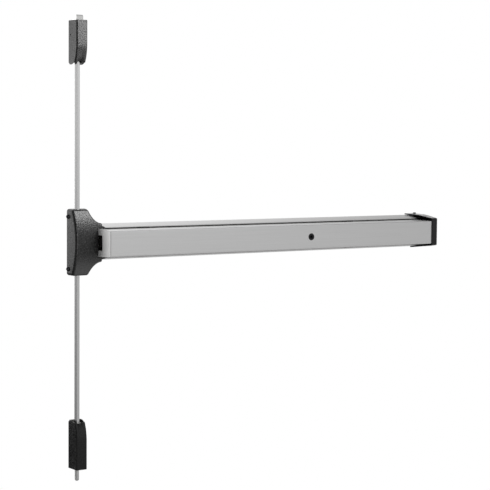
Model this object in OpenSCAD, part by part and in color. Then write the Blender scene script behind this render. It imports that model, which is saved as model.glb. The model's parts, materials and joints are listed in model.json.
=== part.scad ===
/* [Touch bar and rail] */
// Distance from the rod axis to the left end of the touch bar
bar_x0 = 33.6; // [33.4:0.1:34.4]
// Distance from the rod axis to the right end of the touch bar
bar_x1 = 835.2; // [760:0.2:835.2]
// Projection of the touch bar face from the door
bar_front = 78.7; // [76:0.1:80]
// Half height of the touch bar at its front face
bar_front_hz = 24.5; // [23.5:0.1:25]
// Half height of the touch bar at its rear edge
bar_rear_hz = 26.8; // [26:0.1:27]
// Wall thickness of the touch bar
bar_wall = 2.3; // [1.8:0.1:2.6]
// Thickness of the end plug flanges
plug_flange = 1.4; // [1:0.1:2]
// Travel of the touch bar towards the door
bar_stroke = 17.66; // [17.66:0.01:17.66]
// Half height of the rail at the door
rail_back_hz = 34.7; // [34:0.1:35]
// Half height of the rail at its front lips
rail_lip_hz = 29.6; // [29.4:0.1:30]
// Depth of the rail from the door to its lips
rail_depth = 41; // [38:0.5:42]
// Thickness of the rail back wall
rail_wall = 3; // [3:0.1:3]

/* [Centre case] */
// Left side of the centre case
case_left = -15.5; // [-16:0.1:-15]
// Half height of the centre case
case_hz = 62; // [61.5:0.1:64]
// Depth of the case at its top and bottom edges
case_edge_depth = 20.5; // [20:0.1:23]
// Extra depth of the case at mid height
case_crown = 15.5; // [13:0.1:16]
// Wall thickness of the case cover
case_wall = 2; // [1.6:0.1:2.2]
// Right end of the case nose
nose_x = 44; // [43:0.1:44]
// Half height of the case nose
nose_hz = 36.3; // [36:0.1:37]

/* [Rods] */
// Distance of the rod axis from the door
rod_y = 12; // [12:0.1:12]
// Hexagon rod size across flats
rod_af = 9.525; // [9:0.005:9.525]

/* [Latches] */
// Width of a latch cover
latch_w = 23.4; // [23.2:0.1:26]
// Depth of a latch cover
latch_d = 31.25; // [29:0.25:33]
// Wall thickness of a latch cover
latch_wall = 1.8; // [1.4:0.1:1.8]
// Height of the top of the upper latch cover
top_z1 = 417; // [416:0.5:420]
// Height of the open end of the upper latch cover
top_z0 = 334.6; // [330:0.2:336]
// Height of the bottom of the lower latch cover
low_z1 = -431; // [-436:0.5:-430]
// Height of the open end of the lower latch cover
low_z0 = -337.7; // [-338:0.1:-330]
// Height of the tip of the upper bolt
top_tip = 427; // [424:0.5:428]
// Height of the tip of the lower bolt
low_tip = -455; // [-465:0.5:-450]
// Radius of the lower bolt
bolt_r = 4; // [4:0.1:4]

/* [End cap] */
// Right end of the device
cap_x1 = 852.7; // [852:0.1:854]
// Left edge of the end cap at the door
cap_x0 = 826.7; // [824:0.1:828]
// Left edge of the end cap at its front
cap_front_x = 836.9; // [836.2:0.1:838]

/* [Hidden] */
$fn = 48;
EPS = 0.01;
crank_x1 = 156;
crank_x2 = 662;
crank_y = 24;
arm_a = 26;
arm_b = 12;
crank_swing = 19.85;
shoe_dx = -26;
tip_dx = -arm_a * cos(crank_swing);
tip_dy = arm_a * sin(crank_swing);
link_z0 = -15.3;
link_z1 = -12.3;
pivot_x = 24;
pivot_z = 22;
bell_swing = 17.38;
bell_arm = 24;
slide_pin_z = 9;
slide_pin_x = pivot_x - arm_b * sin(crank_swing);
bell_tip_x = pivot_x - bell_arm * cos(bell_swing);
bell_tip_z = pivot_z + bell_arm * sin(bell_swing);
dog_x = 507.3;
fit_gap = 0.05;
screw_r = 2;
case_hole_x = [-8, 22];
case_hole_z = 48;
cap_screw_x = 844.7;
cap_screw_y = 12;
cap_screw_z = 37.86;
cap_wall = 2.2;
cap_heel = 41;
bushing_r = 7;
bushing_bore_r = 5.65;
bushing_sink = 0.5;
pin_r = 2.5;
crank_pivot_r = 3;
bell_pivot_r = 4;
crank_hub_r = 6;
crank_hub_hz = 16.7;
rivet_head_r = 3.4;
rivet_back = 0.4;
plate_front = 5.5;
rivet_front = 6.8;
bracket_rivet_x = [-11, 11];
bracket_rivet_z = 9;
catch_rivet_x = [-24, 24];
pad_rivet_x = [-10, 10];
pad_rivet_z = [-13, 13];
pad_back = 73.9;
link_rivet_x = [49.5, 54.5];
link_rivet_r = 1.5;
link_rivet_y = 10;
rail_screw_x = 62;
end_screw_x = 820;
end_screw_z = [-22, 22];
mount_x = 834;
mount_z = [-14, 14];
mount_r = 3.3;
rail_screw_z = [-20.5, 20.5];
side_screw_z = 49.5;
side_screw_y = 6;
shelf_z0 = 362;
shelf_z1 = 365;
block_z = 398;
rail_x0 = nose_x + 0.6;
rail_x1 = 849.5;
rail_in = rail_back_hz - 2.2;

function bar_hz(p) = bar_rear_hz - (bar_rear_hz - bar_front_hz) * (p - 30) / (bar_front - 30);

// Case outlines, upper half from the left corner to the nose end, as [x, z]
front_half = [
    [case_left, case_hz], [10, case_hz], [12.2, case_hz - 1.6], [13.2, 57.5], [15, 53.5],
    [18, 49], [22, 44.6], [27, 40.6], [32, 38], [37, 36.7], [nose_x, nose_hz]
];
back_half = [
    [case_left, case_hz], [23, case_hz], [26.6, case_hz - 1.2], [28.8, 59], [30.8, 56.6],
    [33, 53.8], [35.4, 50.6], [38, 47], [40.4, 43.4], [42.6, 40.2], [nose_x, nose_hz + 1.2]
];
function mirror_down(p) = [for (i = [len(p) - 1:-1:0]) [p[i][0], -p[i][1]]];
function ring(p) = concat(p, mirror_down(p));
function side_n(a, b) = [(b - a)[1], -(b - a)[0]] / norm(b - a);
function inset(p, d) = [
    for (i = [0:len(p) - 1])
        let (n = len(p))
        let (n1 = side_n(p[(i + n - 1) % n], p[i]))
        let (n2 = side_n(p[i], p[(i + 1) % n]))
        let (m = n1 + n2)
        p[i] + m * (d / (1 + n1 * n2))
];

// A solid between outline a at depth pa and outline b at depth pb
module loft(a, b, pa, pb) {
    n = len(a);
    pts = concat([for (q = a) [q[0], -pa, q[1]]], [for (q = b) [q[0], -pb, q[1]]]);
    sides = [for (i = [0:n - 1]) each [[i, (i + 1) % n, n + i], [(i + 1) % n, n + (i + 1) % n, n + i]]];
    ends = [[for (i = [n - 1:-1:0]) i], [for (i = [0:n - 1]) n + i]];
    polyhedron(points = pts, faces = concat(ends, sides));
}

// A block from x0 to x1, projection p0 to p1 and height z0 to z1
module block(x0, x1, p0, p1, z0, z1) {
    translate([x0, -p1, z0]) cube([x1 - x0, p1 - p0, z1 - z0]);
}

// A round bar along Y at x, z from projection p0 to p1
module rod_y_dir(x, z, r, p0, p1) {
    translate([x, -p0, z]) rotate([90, 0, 0]) cylinder(r = r, h = p1 - p0);
}

// A round bar along Z at x and projection p
module rod_z_dir(x, p, r, z0, z1) {
    translate([x, -p, z0]) cylinder(r = r, h = z1 - z0);
}

// A round bar along X at projection p and height z
module rod_x_dir(p, z, r, x0, x1) {
    translate([x0, -p, z]) rotate([0, 90, 0]) cylinder(r = r, h = x1 - x0);
}

// A profile drawn as [projection, height] and run along X
module along_x(x0, x1) {
    translate([x0, 0, 0]) rotate([90, 0, 90]) linear_extrude(height = x1 - x0) mirror([1, 0]) children();
}

// A profile drawn as [x, height] and run along Y
module along_y(p0, p1) {
    translate([0, -p0, 0]) rotate([90, 0, 0]) linear_extrude(height = p1 - p0) children();
}

// A plan drawn as [x, projection] and run along Z
module along_z(z0, z1) {
    translate([0, 0, z0]) linear_extrude(height = z1 - z0) mirror([0, 1]) children();
}

// A hexagon with its flats towards the door, of the given size across flats
module hex2(af) {
    circle(d = af / cos(30), $fn = 6);
}

module hex_rod(z0, z1, af) {
    translate([0, -rod_y, z0]) linear_extrude(height = z1 - z0) hex2(af);
}

module slot2(w, l) {
    square([l - w, w], center = true);
    translate([(l - w) / 2, 0]) circle(d = w);
    translate([-(l - w) / 2, 0]) circle(d = w);
}

// A rounded link between two points in 2D
module link2(a, b, w) {
    d = b - a;
    translate(a) circle(d = w);
    translate(b) circle(d = w);
    translate(a) rotate(atan2(d[1], d[0])) translate([0, -w / 2]) square([norm(d), w]);
}

// ---------------------------------------------------------------- centre case
module crown(dep, edge) {
    r = (case_hz * case_hz + case_crown * case_crown) / (2 * case_crown);
    translate([case_left - 5, -(edge + case_crown - r), 0])
        rotate([0, 90, 0]) cylinder(r = r + dep, h = nose_x - case_left + 10, $fn = 192);
}

module chassis_cover() {
    outer0 = ring(back_half);
    outer1 = ring(front_half);
    inner0 = inset(outer0, case_wall);
    inner1 = inset(outer1, case_wall);
    color([0.06, 0.06, 0.065]) difference() {
        intersection() {
            loft(outer0, outer1, 0, 37);
            crown(0, case_edge_depth);
        }
        intersection() {
            loft(inner0, inner1, -1, 37.5);
            crown(-case_wall, case_edge_depth);
        }
        block(bar_x0 - 0.6, nose_x + 5, -1, 60, -27.9, 27.9);
        rod_z_dir(0, rod_y, bushing_r + 0.1, -case_hz - 1, case_hz + 1);
        for (z = [-side_screw_z, side_screw_z])
            rod_x_dir(side_screw_y, z, screw_r + 0.2, case_left - 1, case_left + 4);
    }
}

module chassis_base() {
    color([0.62, 0.62, 0.60]) difference() {
        union() {
            along_y(0, 3) polygon([
                [case_left + 2.3, 58.5], [24, 58.5], [35, 43], [41, 33], [41, 27.4], [nose_x, 27.4],
                [nose_x, -27.4], [41, -27.4], [41, -33], [35, -43], [24, -58.5], [case_left + 2.3, -58.5]
            ]);
            block(nose_x - 5, 76, 3, 6, -25.5, 25.5);
            block(case_left + 2.3, case_left + 4.8, 3 - EPS, 13, side_screw_z - 6, side_screw_z + 6);
            block(case_left + 2.3, case_left + 4.8, 3 - EPS, 13, -side_screw_z - 6, -side_screw_z + 6);
        }
        for (x = case_hole_x, z = [-case_hole_z, case_hole_z]) rod_y_dir(x, z, mount_r, -1, 4);
        for (z = [-pivot_z, pivot_z]) rod_y_dir(pivot_x, z, bell_pivot_r + fit_gap, -1, 4);
        for (z = rail_screw_z) rod_y_dir(rail_screw_x, z, pin_r + fit_gap, -1, 7);
        for (z = [-side_screw_z, side_screw_z])
            rod_x_dir(side_screw_y, z, screw_r + fit_gap, case_left, case_left + 6);
    }
}

module domed_x(z) {
    translate([case_left, -side_screw_y, z]) rotate([0, -90, 0]) rotate_extrude()
        polygon([[0, 0], [4.2, 0], [4.2, 0.7], [3.7, 2], [2.6, 3.1], [1.4, 3.7], [0, 3.9]]);
    rod_x_dir(side_screw_y, z, screw_r, case_left - EPS, case_left + 7);
}

module cover_screws() {
    color([0.05, 0.05, 0.05]) {
        domed_x(side_screw_z);
        domed_x(-side_screw_z);
    }
}

module bell_crank_pins() {
    color([0.66, 0.66, 0.64]) for (z = [-pivot_z, pivot_z]) {
        rod_y_dir(pivot_x, z, bell_pivot_r, 0.3, 23.5);
        rod_y_dir(pivot_x, z, 7, 3, 5);
    }
}

module bell_crank_clips() {
    color([0.55, 0.55, 0.53]) for (z = [-pivot_z, pivot_z]) difference() {
        rod_y_dir(pivot_x, z, 6.6, 20.8, 22);
        rod_y_dir(pivot_x, z, bell_pivot_r + fit_gap, 20, 23);
        block(pivot_x - 1.6, pivot_x + 1.6, 20, 23, z - 8, z);
    }
}

module rod_bushings() {
    color([0.04, 0.04, 0.04]) for (s = [-1, 1]) scale([1, 1, s]) translate([0, -rod_y, 0]) difference() {
        union() {
            translate([0, 0, case_hz - 3.4]) cylinder(r = bushing_r, h = 3.4 - bushing_sink);
            translate([0, 0, case_hz - 3.4]) cylinder(r = bushing_r + 0.4, h = 1.3);
        }
        translate([0, 0, case_hz - 5]) cylinder(r = bushing_bore_r, h = 8);
    }
}

// ---------------------------------------------------------------- bell cranks
module bell_crank_plate(s) {
    tip = [bell_tip_x, s * bell_tip_z];
    hub = [pivot_x, s * pivot_z];
    difference() {
        union() {
            along_y(17.6, 20.6) union() {
                link2(hub, tip, 9);
                link2(hub, hub + [-sin(bell_swing) * 14.2, -s * cos(bell_swing) * 14.2], 9);
                translate(hub) circle(r = 7);
            }
            rod_y_dir(pivot_x, s * pivot_z, 7, 5.3, 20.6);
        }
        rod_y_dir(pivot_x, s * pivot_z, bell_pivot_r + fit_gap, 0, 24);
        rod_y_dir(tip[0], tip[1], pin_r + fit_gap, 0, 24);
        translate([pivot_x, 0, s * pivot_z]) rotate([0, s > 0 ? bell_swing : 180 - bell_swing, 0])
            block(-2.7, 2.7, 16, 22, -22, -10.2);
    }
}

module upper_bell_crank() {
    color([0.60, 0.60, 0.57]) bell_crank_plate(1);
}

module lower_bell_crank() {
    color([0.60, 0.60, 0.57]) bell_crank_plate(-1);
}

module bell_pin(s) {
    rod_y_dir(bell_tip_x, s * bell_tip_z, pin_r, 7.6, 21);
    rod_y_dir(bell_tip_x, s * bell_tip_z, 3.6, 20.6, 21.8);
}

module upper_crank_pin() {
    color([0.72, 0.72, 0.70]) bell_pin(1);
}

module lower_crank_pin() {
    color([0.72, 0.72, 0.70]) bell_pin(-1);
}

// ---------------------------------------------------------------- actuator
module centre_slide() {
    color([0.58, 0.58, 0.56]) difference() {
        union() {
            block(slide_pin_x - 5, 58, 13.5, 16.5, -12.3, 12);
            block(46, 58, 6.5, 16.5, link_z1, link_z1 + 3);
        }
        for (z = [-slide_pin_z, slide_pin_z]) rod_y_dir(slide_pin_x, z, pin_r + fit_gap, 12, 18);
        for (x = link_rivet_x) rod_z_dir(x, link_rivet_y, link_rivet_r + fit_gap, link_z0 - 1, link_z1 + 4);
        block(34, 42, 12, 18, -5, 5);
    }
}

module slide_pins() {
    color([0.72, 0.72, 0.70]) for (z = [-slide_pin_z, slide_pin_z]) {
        rod_y_dir(slide_pin_x, z, pin_r, 12.4, 20.8);
        rod_y_dir(slide_pin_x, z, 3.4, 12.4, 13.5);
    }
}

module actuator_link() {
    color([0.64, 0.64, 0.62]) difference() {
        block(45, crank_x2 + 14, 6.5, 17.5, link_z0, link_z1);
        for (x = link_rivet_x) rod_z_dir(x, link_rivet_y, link_rivet_r + fit_gap, link_z0 - 1, link_z1 + 4);
        for (c = [crank_x1, crank_x2])
            along_z(link_z0 - 1, link_z1 + 1)
                translate([c - arm_b * sin(crank_swing), crank_y - arm_b + 0.35])
                    rotate(90) slot2(5.3, 6.1);
        for (x = [260, 360, 460, 560]) along_z(link_z0 - 1, link_z1 + 1) translate([x, 12]) slot2(5, 40);
    }
}

module link_rivets() {
    color([0.7, 0.7, 0.68]) for (x = link_rivet_x) {
        rod_z_dir(x, link_rivet_y, link_rivet_r, link_z0 - 1, link_z1 + 4);
        rod_z_dir(x, link_rivet_y, 2.4, link_z0 - 1, link_z0);
        rod_z_dir(x, link_rivet_y, 2.4, link_z1 + 3, link_z1 + 4);
    }
}

// ---------------------------------------------------------------- touch bar cranks
module crank_at(c) {
    tip = [tip_dx, crank_y + tip_dy];
    low = [-arm_b * sin(crank_swing), crank_y - arm_b * cos(crank_swing)];
    difference() {
        union() {
            rod_z_dir(c, crank_y, crank_hub_r, -crank_hub_hz, crank_hub_hz);
            along_z(-2.5, 2.5) translate([c, 0]) link2([0, crank_y], tip, 10);
            along_z(-11, -7) translate([c, 0]) link2([0, crank_y], low, 9);
        }
        rod_z_dir(c, crank_y, crank_pivot_r + fit_gap, -18, 18);
        rod_z_dir(c + tip[0], tip[1], pin_r + fit_gap, -4, 4);
        rod_z_dir(c + low[0], low[1], pin_r + fit_gap, -12, -6);
    }
}

module crank_pins_at(c) {
    rod_z_dir(c + tip_dx, crank_y + tip_dy, pin_r, -7, 7);
    rod_z_dir(c - arm_b * sin(crank_swing), crank_y - arm_b * cos(crank_swing), pin_r, -16.8, -6.6);
}

module front_crank() {
    color([0.60, 0.60, 0.57]) crank_at(crank_x1);
}

module rear_crank() {
    color([0.60, 0.60, 0.57]) crank_at(crank_x2);
}

module front_crank_pins() {
    color([0.72, 0.72, 0.70]) crank_pins_at(crank_x1);
}

module rear_crank_pins() {
    color([0.72, 0.72, 0.70]) crank_pins_at(crank_x2);
}

module bracket_at(c) {
    difference() {
        union() {
            block(c - 15, c + 15, rail_wall, plate_front, -20, 20);
            for (z = [-20, 17]) along_z(z, z + 3) translate([c, 0]) {
                translate([0, crank_y]) circle(r = 8);
                translate([-8, rail_wall]) square([16, crank_y - rail_wall]);
            }
        }
        rod_z_dir(c, crank_y, crank_pivot_r + fit_gap, -25, 25);
        for (x = bracket_rivet_x) rod_y_dir(c + x, bracket_rivet_z, screw_r + fit_gap, 2, 7);
    }
}

module front_crank_bracket() {
    color([0.66, 0.65, 0.60]) bracket_at(crank_x1);
}

module rear_crank_bracket() {
    color([0.66, 0.65, 0.60]) bracket_at(crank_x2);
}

module crank_pivot_pins() {
    color([0.72, 0.72, 0.70]) for (c = [crank_x1, crank_x2]) {
        rod_z_dir(c, crank_y, crank_pivot_r, -21, 21);
        rod_z_dir(c, crank_y, 4.6, 20, 21.6);
        rod_z_dir(c, crank_y, 4.2, -21.4, -20);
    }
}

// A rivet along Y whose head lies on a plate against the rail's back wall
module base_rivet(x, z) {
    rod_y_dir(x, z, screw_r, rivet_back, 6);
    rod_y_dir(x, z, rivet_head_r, plate_front, rivet_front);
}

module bracket_rivets() {
    color([0.7, 0.7, 0.68]) {
        for (c = [crank_x1, crank_x2], x = bracket_rivet_x) base_rivet(c + x, bracket_rivet_z);
        for (x = catch_rivet_x) base_rivet(dog_x + x, 0);
    }
}

// ---------------------------------------------------------------- rail
module rail_profile() {
    difference() {
        polygon(ring([[0, rail_back_hz], [rail_depth * 0.45, rail_back_hz - 1.6],
            [rail_depth * 0.8, rail_lip_hz + 1.3], [rail_depth, rail_lip_hz]]));
        polygon(ring([[rail_wall, rail_in], [rail_depth * 0.45, rail_in - 1.5],
            [rail_depth * 0.8, rail_in - 3.4], [rail_depth + 1, 28.1]]));
    }
}

module rail() {
    color([0.73, 0.73, 0.72]) difference() {
        along_x(rail_x0, rail_x1) rail_profile();
        for (c = [crank_x1, crank_x2], x = bracket_rivet_x)
            rod_y_dir(c + x, bracket_rivet_z, screw_r + fit_gap, -1, 4);
        for (x = catch_rivet_x) rod_y_dir(dog_x + x, 0, screw_r + fit_gap, -1, 4);
        for (z = rail_screw_z) rod_y_dir(rail_screw_x, z, pin_r + fit_gap, -1, 4);
        for (z = mount_z) rod_y_dir(mount_x, z, mount_r, -1, 4);
        for (z = end_screw_z) rod_y_dir(end_screw_x, z, pin_r + fit_gap, -1, 4);
        rod_z_dir(cap_screw_x, cap_screw_y, screw_r + fit_gap, 25, 40);
    }
}

// A slotted screw along Y whose head sits at projection 6
module slotted_screw(x, z) {
    difference() {
        union() {
            rod_y_dir(x, z, pin_r, rivet_back, 7);
            rod_y_dir(x, z, 3.6, 6, 8);
        }
        block(x - 4, x + 4, 7.2, 9, z - 0.5, z + 0.5);
    }
}

module rail_screws() {
    color([0.68, 0.68, 0.66]) for (z = rail_screw_z) slotted_screw(rail_screw_x, z);
}

module end_bracket() {
    color([0.66, 0.65, 0.60]) difference() {
        block(810, 848, rail_wall, 6, -27, 27);
        for (z = mount_z) rod_y_dir(mount_x, z, mount_r, 2, 7);
        for (z = end_screw_z) rod_y_dir(end_screw_x, z, pin_r + fit_gap, 2, 7);
    }
}

module end_bracket_screws() {
    color([0.68, 0.68, 0.66]) for (z = end_screw_z) slotted_screw(end_screw_x, z);
}

// ---------------------------------------------------------------- touch bar
module bar_profile(d) {
    f = bar_front - d;
    h = bar_front_hz - d;
    rear = 30 - (d > 0 ? 1 : 0);
    corner = [for (a = [75:-15:15]) [f - 2.4 + 2.4 * cos(a), h - 2.3 + 2.4 * sin(a)]];
    upper = concat([[rear, bar_rear_hz - d], [f - 6, bar_hz(bar_front - 6) - d]], corner, [[f, h - 3.2]]);
    polygon(concat(upper, mirror_down(upper)));
}

module touch_bar() {
    color([0.76, 0.76, 0.75]) difference() {
        along_x(bar_x0 + plug_flange, bar_x1 - plug_flange) difference() {
            bar_profile(0);
            bar_profile(bar_wall);
        }
        rod_y_dir(dog_x, 0, 5.55, 70, 82);
        for (c = [crank_x1, crank_x2], x = pad_rivet_x, z = pad_rivet_z)
            rod_y_dir(c + shoe_dx + x, z, screw_r + fit_gap, 70, bar_front - 0.8);
    }
}

// Plug in one end of the bar, drawn for the left end at x = 0 and pointing right
module end_plug(notch_depth, notch_hz) {
    difference() {
        union() {
            along_x(0, plug_flange) bar_profile(0);
            along_x(plug_flange - EPS, 5) bar_profile(bar_wall + 0.02);
        }
        block(-1, 6, 20, notch_depth, -notch_hz, notch_hz);
        block(-1, 6, 20, 30.5, -40, 40);
        block(2.6, 6, 51, 72, -16, 16);
    }
}

module left_end_plug() {
    color([0.62, 0.62, 0.61]) translate([bar_x0, 0, 0]) end_plug(49, 14.5);
}

module right_end_plug() {
    color([0.62, 0.62, 0.61]) translate([bar_x1, 0, 0]) mirror([1, 0, 0]) end_plug(46, 18);
}

module pad_bracket_at(c) {
    difference() {
        union() {
            block(c - 14, c + 14, pad_back, bar_front - bar_wall, -18, 18);
            for (z = [-5.8, 2.8]) block(c - 6.5, c + 8, 27.6, 74, z, z + 3);
        }
        along_z(-8, 8) translate([c + (tip_dx + 26) / 2 - 0.02, crank_y + tip_dy]) slot2(5.4, 7.2);
        for (x = pad_rivet_x, z = pad_rivet_z) rod_y_dir(c + x, z, screw_r + fit_gap, 70, 80);
    }
}

module front_pad_bracket() {
    color([0.66, 0.65, 0.60]) pad_bracket_at(crank_x1 + shoe_dx);
}

module rear_pad_bracket() {
    color([0.66, 0.65, 0.60]) pad_bracket_at(crank_x2 + shoe_dx);
}

module pad_rivets() {
    color([0.7, 0.7, 0.68]) for (c = [crank_x1, crank_x2], x = pad_rivet_x, z = pad_rivet_z) {
        rod_y_dir(c + shoe_dx + x, z, screw_r, pad_back - 1.3, bar_front - 0.9);
        rod_y_dir(c + shoe_dx + x, z, rivet_head_r, pad_back - 1.3, pad_back);
    }
}

module shoes_at(c) {
    for (s = [-1, 1]) scale([1, 1, s]) along_x(c - 11.5, c + 11.5)
        polygon([[31, bar_hz(31)], [42.4, bar_hz(42.4)], [42.4, 27.4], [41.6, 27.9], [31.6, 27.9], [31, 27.4]]);
}

module front_guide_shoes() {
    color([0.03, 0.03, 0.03]) shoes_at(crank_x1 + shoe_dx);
}

module rear_guide_shoes() {
    color([0.03, 0.03, 0.03]) shoes_at(crank_x2 + shoe_dx);
}

// ---------------------------------------------------------------- dogging
module dogging_bushing() {
    color([0.04, 0.04, 0.04]) difference() {
        union() {
            rod_y_dir(dog_x, 0, 5.5, 70, bar_front + EPS);
            rod_y_dir(dog_x, 0, 7.2, bar_front, bar_front + 0.6);
        }
        rod_y_dir(dog_x, 0, 4 + fit_gap, 69, 82);
    }
}

module dogging_retainer() {
    color([0.55, 0.55, 0.53]) difference() {
        rod_y_dir(dog_x, 0, 10, 75.2, bar_front - bar_wall);
        rod_y_dir(dog_x, 0, 5.55, 74, 78);
    }
}

module dogging_shaft() {
    color([0.13, 0.13, 0.13]) difference() {
        union() {
            rod_y_dir(dog_x, 0, 4, 38, bar_front - 0.2);
            block(dog_x - 11, dog_x + 11, 38, 42, -4, 4);
        }
        translate([dog_x, -bar_front + 8, 0]) rotate([90, 0, 0]) cylinder(d = 4.8 / cos(30), h = 10, $fn = 6);
    }
}

module dogging_ring() {
    color([0.55, 0.55, 0.53]) difference() {
        rod_y_dir(dog_x, 0, 6.2, 68.6, 69.8);
        rod_y_dir(dog_x, 0, 4.02, 68, 70.5);
    }
}

module dogging_catch() {
    color([0.66, 0.65, 0.60]) difference() {
        union() {
            block(dog_x - 30, dog_x + 30, rail_wall, plate_front, -10, 14);
            block(dog_x - 20, dog_x - 17.2, rail_wall, 27.6, -10, 14);
            block(dog_x + 17.2, dog_x + 20, rail_wall, 27.6, -10, 14);
            block(dog_x - 20, dog_x + 20, 24.7, 27.6, -10, 14);
        }
        block(dog_x - 12.5, dog_x + 12.5, 20, 30, -5, 5);
        for (x = catch_rivet_x) rod_y_dir(dog_x + x, 0, screw_r + fit_gap, 2, 7);
    }
}

// ---------------------------------------------------------------- end cap
// Section of the end cap moved in by d: a flat top, a sloping brow, a flat front and a slimmer underside
module cap_section(d) {
    back = d > 0 ? -1 : 0;
    front = bar_front - d;
    polygon([
        [back, 38 - d], [20, 37.6 - d], [38, 37 - d], [50, 35.5 - d], [60, 33.7 - d], [70, 31.9 - d],
        [76 - d * 0.5, 30.7 - d], [78 - d * 0.9, 29.6 - d], [front, 27.6 - d * 0.6],
        [front, -26.4 + d * 0.6], [78 - d * 0.9, -28.3 + d], [76 - d * 0.5, -29.3 + d], [60, -31.1 + d],
        [cap_heel, -32.6 + d], [20, -35.4 + d], [back, -37.4 + d]
    ]);
}

module cap_plan() {
    polygon([[cap_x0, 0], [cap_x0 - 0.6, 20], [cap_x0 - 0.2, 36], [cap_x0 + 1.6, 50], [cap_x0 + 4.6, 62],
        [cap_x0 + 7.6, 72], [cap_front_x, bar_front - 1.6], [cap_front_x, bar_front + 1],
        [cap_x1 + 1, bar_front + 1], [cap_x1 + 1, 0]]);
}

module end_cap() {
    color([0.05, 0.05, 0.055]) difference() {
        union() {
            difference() {
                intersection() {
                    along_x(cap_x0 - 2, cap_x1) cap_section(0);
                    along_z(-40, 40) cap_plan();
                }
                along_x(cap_x0 - 5, cap_x1 - cap_wall) cap_section(cap_wall);
            }
            intersection() {
                along_x(cap_front_x, cap_front_x + 2) cap_section(1);
                block(cap_front_x, cap_front_x + 2, 45, 78, -40, 40);
            }
        }
        rod_z_dir(cap_screw_x, cap_screw_y, screw_r + 0.3, 30, 45);
        block(cap_x0 - 3, cap_x1 - cap_wall, -1, 20, -40, -30);
    }
}

module end_cap_screw() {
    color([0.05, 0.05, 0.05]) {
        rod_z_dir(cap_screw_x, cap_screw_y, screw_r, 29, cap_screw_z + 0.4);
        translate([cap_screw_x, -cap_screw_y, cap_screw_z]) rotate_extrude()
            polygon([[0, 0], [3.9, 0], [3.9, 0.6], [3.3, 1.6], [2, 2.3], [0, 2.5]]);
    }
}

// ---------------------------------------------------------------- rods
module connector(s) {
    scale([1, 1, s]) difference() {
        union() {
            block(-7, 7, 7, 17, bell_tip_z - 6, 46);
            translate([0, -rod_y, 46 - EPS]) cylinder(r = 6.8, h = 12);
        }
        hex_rod(40, 60, rod_af + 0.1);
        translate([0.55, 0, bell_tip_z]) along_y(0, 20) slot2(5.4, 7.2);
        rod_y_dir(0, 52, 2 + fit_gap, rod_y, 20);
    }
}

module upper_connector() {
    color([0.64, 0.64, 0.61]) connector(1);
}

module lower_connector() {
    color([0.64, 0.64, 0.61]) connector(-1);
}

module set_screw_at(z) {
    difference() {
        rod_y_dir(0, z, 2, 16.8, 19.6);
        translate([0, -18, z]) rotate([90, 0, 0]) cylinder(d = 2.3, h = 3, $fn = 6);
    }
}

module upper_set_screw() {
    color([0.1, 0.1, 0.1]) set_screw_at(52);
}

module lower_set_screw() {
    color([0.1, 0.1, 0.1]) set_screw_at(-52);
}

module top_rod() {
    color([0.72, 0.72, 0.70]) hex_rod(40.4, 352, rod_af);
}

module bottom_rod() {
    color([0.72, 0.72, 0.70]) hex_rod(-352, -40.4, rod_af);
}

module coupling(s) {
    scale([1, 1, s]) difference() {
        hex_rod(343, 361, 14);
        hex_rod(342, 352.2, rod_af + 0.1);
        rod_z_dir(0, rod_y, bolt_r + fit_gap, 352, 362);
    }
}

module top_coupling() {
    color([0.62, 0.62, 0.59]) coupling(1);
}

module bottom_coupling() {
    color([0.62, 0.62, 0.59]) coupling(-1);
}

// ---------------------------------------------------------------- latches
module top_bolt() {
    color([0.80, 0.80, 0.79]) {
        rod_z_dir(0, rod_y, bolt_r, 353, block_z + 2);
        along_x(-7.2, 7.2) polygon([[5, block_z], [5, 417.8], [6.2, 419.4], [14.4, 426.2], [16, top_tip],
            [20, top_tip], [21.4, 426], [22, 424.6], [22, block_z]]);
    }
}

module bottom_bolt() {
    color([0.74, 0.74, 0.72]) {
        rod_z_dir(0, rod_y, bolt_r, low_tip + 3, -353);
        translate([0, -rod_y, low_tip]) rotate_extrude()
            polygon([[0, 0], [1.6, 0.25], [2.9, 1], [3.7, 2.1], [bolt_r, 3.4], [0, 3.4]]);
        rod_z_dir(0, rod_y, 7.2, -block_z - 3, -block_z);
    }
}

// A round wire of radius w wound at radius r between two heights
module coil(z0, h, turns, r, w) {
    n = turns * 14;
    m = 6;
    climb = h / (turns * 2 * PI * r);
    lift = 1 / sqrt(1 + climb * climb);
    lean = climb * lift;
    pts = [
        for (i = [0:n]) let (a = 360 * turns * i / n) for (j = [0:m - 1]) let (b = 360 * j / m) [
            (r + w * cos(b)) * cos(a) + w * sin(b) * lean * sin(a),
            (r + w * cos(b)) * sin(a) - w * sin(b) * lean * cos(a),
            h * i / n + w * sin(b) * lift
        ]
    ];
    quads = [
        for (i = [0:n - 1], j = [0:m - 1]) let (k = (j + 1) % m)
            each [[i * m + j, (i + 1) * m + j, i * m + k], [i * m + k, (i + 1) * m + j, (i + 1) * m + k]]
    ];
    ends = [[for (j = [0:m - 1]) j], [for (j = [m - 1:-1:0]) n * m + j]];
    translate([0, -rod_y, z0])
        polyhedron(points = pts, faces = concat(ends, quads));
}

module top_latch_spring() {
    color([0.5, 0.5, 0.5]) coil(shelf_z1 + 1, block_z - shelf_z1 - 2, 6, 5.9, 0.8);
}

module bottom_latch_spring() {
    color([0.5, 0.5, 0.5]) coil(-block_z + 1, block_z - shelf_z1 - 2, 6, 5.9, 0.8);
}

module latch_base(s, z1, hole_z) {
    w = latch_w / 2 - latch_wall - 0.3;
    scale([1, 1, s]) difference() {
        union() {
            block(-w, w, 0, 3, 338, z1);
            block(-w, w, 3 - EPS, 21, shelf_z0, shelf_z1);
        }
        rod_z_dir(0, rod_y, bolt_r + 0.3, 350, 370);
        for (x = [-6.6, 6.6], z = hole_z) rod_y_dir(x, z, 2.2, -1, 4);
    }
}

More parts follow.
